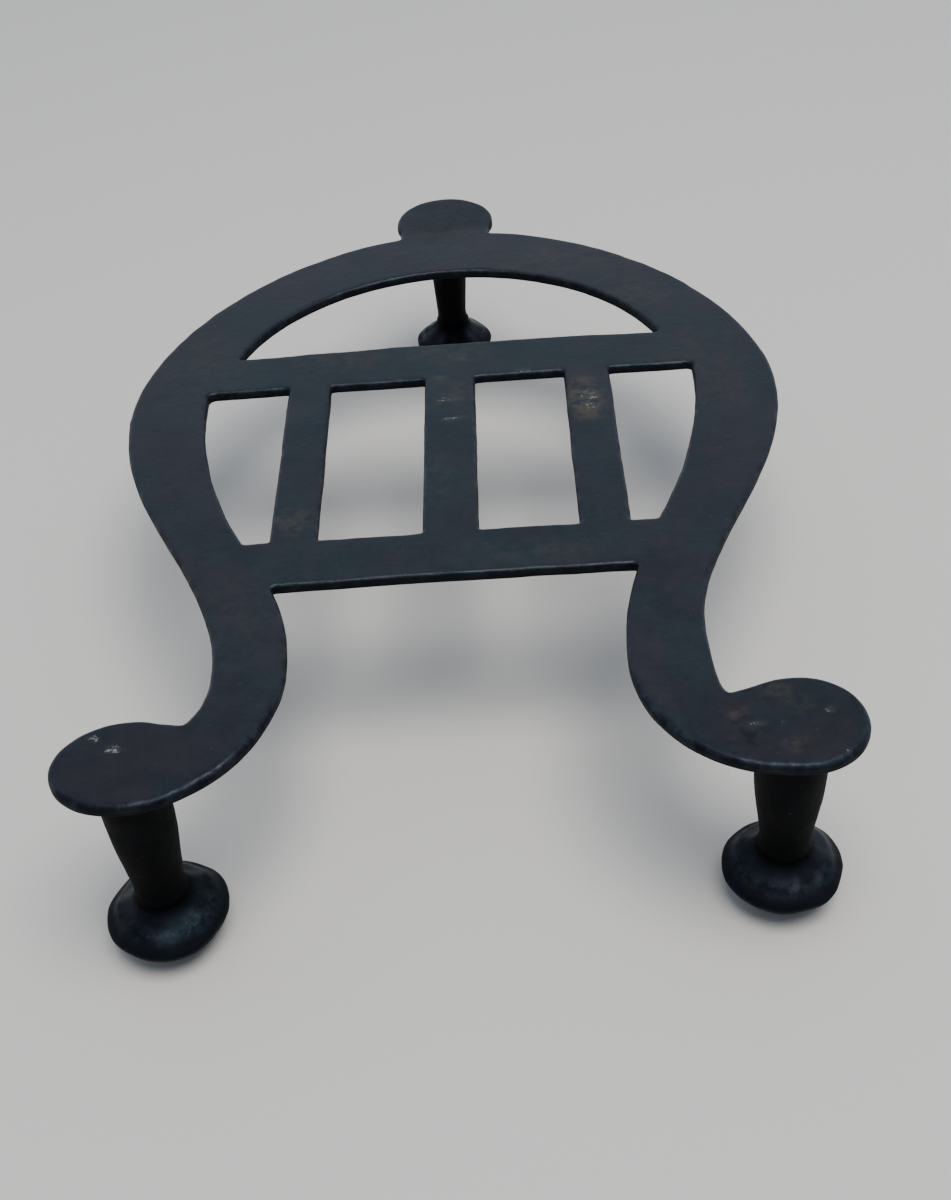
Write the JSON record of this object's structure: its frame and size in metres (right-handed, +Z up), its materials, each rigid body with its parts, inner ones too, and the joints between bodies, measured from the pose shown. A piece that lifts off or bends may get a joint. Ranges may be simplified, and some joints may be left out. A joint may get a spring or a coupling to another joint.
{
  "type": "flat iron stand",
  "caption": "Low hand-forged iron stand for a hot iron: a horseshoe rim with curled front arms and a rear tongue, a barred grid inside it, and turned legs on button feet.",
  "frame": {"origin": "on the plane that the feet stand on, under the centre of the bounding box", "axes": "+Z up, +Y from the curled front arms to the rear leg, +X to the right when seen from the front arms"},
  "size_m": [0.1486, 0.2244, 0.0445],
  "materials": {
    "plate_iron": "oil-blackened forged iron, blue-grey satin on top, fine scale",
    "bar_iron": "oil-blackened flat bar with a light brown rust haze",
    "leg_iron": "near-black scaled iron, satin on the feet"
  },
  "bodies": {
    "root": {"rim": "plate_iron", "rear_tab": "plate_iron", "front_crossbar": "bar_iron", "rear_crossbar": "bar_iron", "left_grid_bar": "bar_iron", "centre_grid_bar": "bar_iron", "right_grid_bar": "bar_iron", "left_leg": "leg_iron", "left_foot": "leg_iron", "right_leg": "leg_iron", "right_foot": "leg_iron", "rear_leg": "leg_iron", "rear_foot": "leg_iron"}
  },
  "joints": []
}
